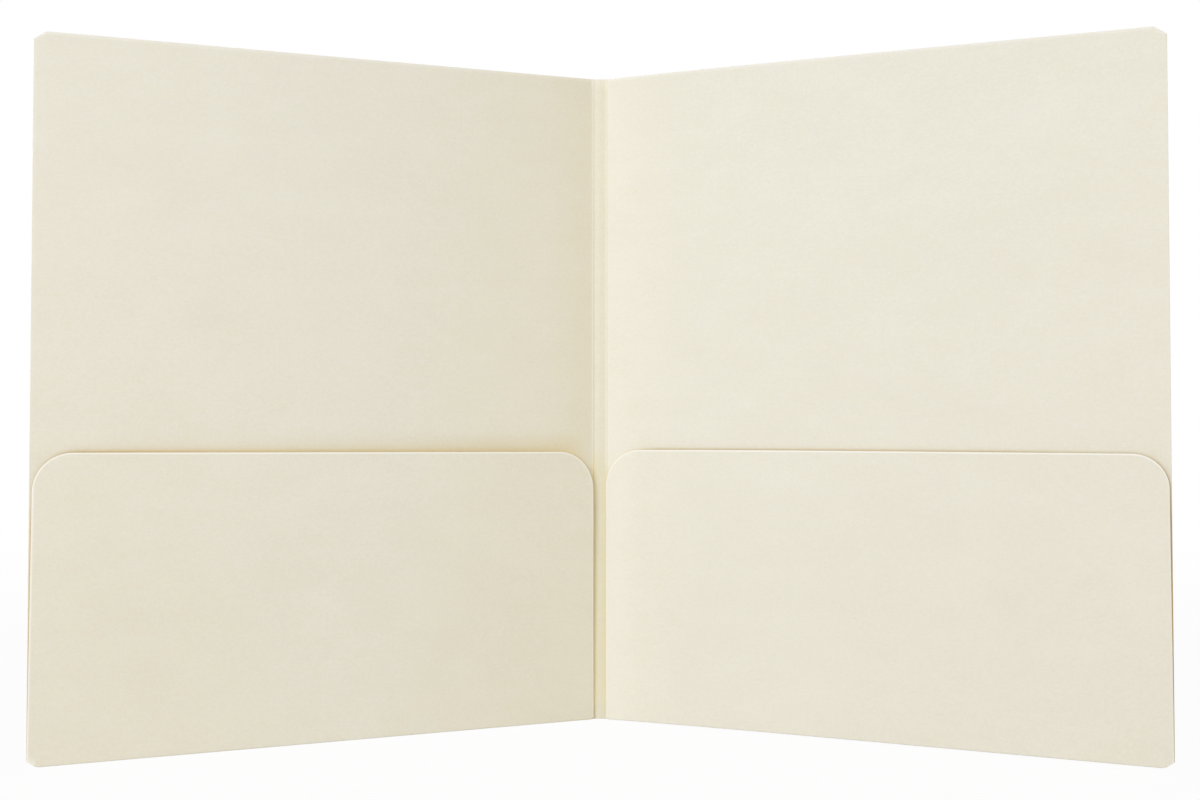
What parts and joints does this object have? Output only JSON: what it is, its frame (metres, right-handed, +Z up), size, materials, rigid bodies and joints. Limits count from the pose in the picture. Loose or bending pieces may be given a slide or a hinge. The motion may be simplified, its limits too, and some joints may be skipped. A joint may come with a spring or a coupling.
{
  "type": "pocket folder",
  "caption": "Letter-size paperboard folder standing open, with a pocket inside each cover for loose sheets; the covers swing on scored folds beside a narrow creased spine.",
  "frame": {"origin": "on the surface the folder stands on, midway between its sides and midway between its front and its back", "axes": "+Z up along the spine, +X towards the right cover as seen from the inside, +Y from the inside towards the spine at the back"},
  "size_m": [0.4602, 0.0844, 0.2984],
  "materials": {
    "left_cover_board": "matte uncoated cream board",
    "right_cover_board": "matte uncoated cream board",
    "left_pocket_board": "matte uncoated cream board",
    "right_pocket_board": "matte uncoated cream board",
    "spine_board": "matte uncoated cream board",
    "fold_board": "matte uncoated cream board, bent at a score",
    "glue": "dried white glue"
  },
  "bodies": {
    "spine": {"spine_left_strip": "spine_board"},
    "spine_right_half": {"spine_right_strip": "spine_board"},
    "left_cover_body": {"left_cover": "left_cover_board", "left_bottom_fold": "fold_board", "left_glue_flap": "left_pocket_board", "left_glue_line": "glue"},
    "right_cover_body": {"right_cover": "right_cover_board", "right_bottom_fold": "fold_board", "right_glue_flap": "right_pocket_board", "right_glue_line": "glue"},
    "left_pocket_body": {"left_pocket": "left_pocket_board"},
    "right_pocket_body": {"right_pocket": "right_pocket_board"}
  },
  "joints": [
    {"name": "left_cover_fold", "type": "hinge", "parent": "spine", "child": "left_cover_body", "pos_m": [-0.00317, 0.04177, 0], "axis": [0, 0, 1], "range_deg": [-17, 60]},
    {"name": "spine_crease_fold", "type": "hinge", "parent": "spine", "child": "spine_right_half", "pos_m": [0, 0.04177, 0], "axis": [0, 0, -1], "range_deg": [-6, 20.1]},
    {"name": "right_cover_fold", "type": "hinge", "parent": "spine_right_half", "child": "right_cover_body", "pos_m": [0.00317, 0.04177, 0], "axis": [0, 0, -1], "range_deg": [-17, 60]},
    {"name": "left_pocket_flex", "type": "hinge", "parent": "left_cover_body", "child": "left_pocket_body", "pos_m": [-0.00293, 0.04108, 0.00076], "axis": [0.9397, 0.342, 0], "range_deg": [-0.35, 0.4], "stiffness_Nm_per_rad": 1.5},
    {"name": "right_pocket_flex", "type": "hinge", "parent": "right_cover_body", "child": "right_pocket_body", "pos_m": [0.00293, 0.04108, 0.00076], "axis": [0.9397, -0.342, 0], "range_deg": [-0.35, 0.4], "stiffness_Nm_per_rad": 1.5}
  ],
  "couplings": [
    {"joint": "spine_crease_fold", "follows": "left_cover_fold", "ratio": 0.3333}
  ]
}
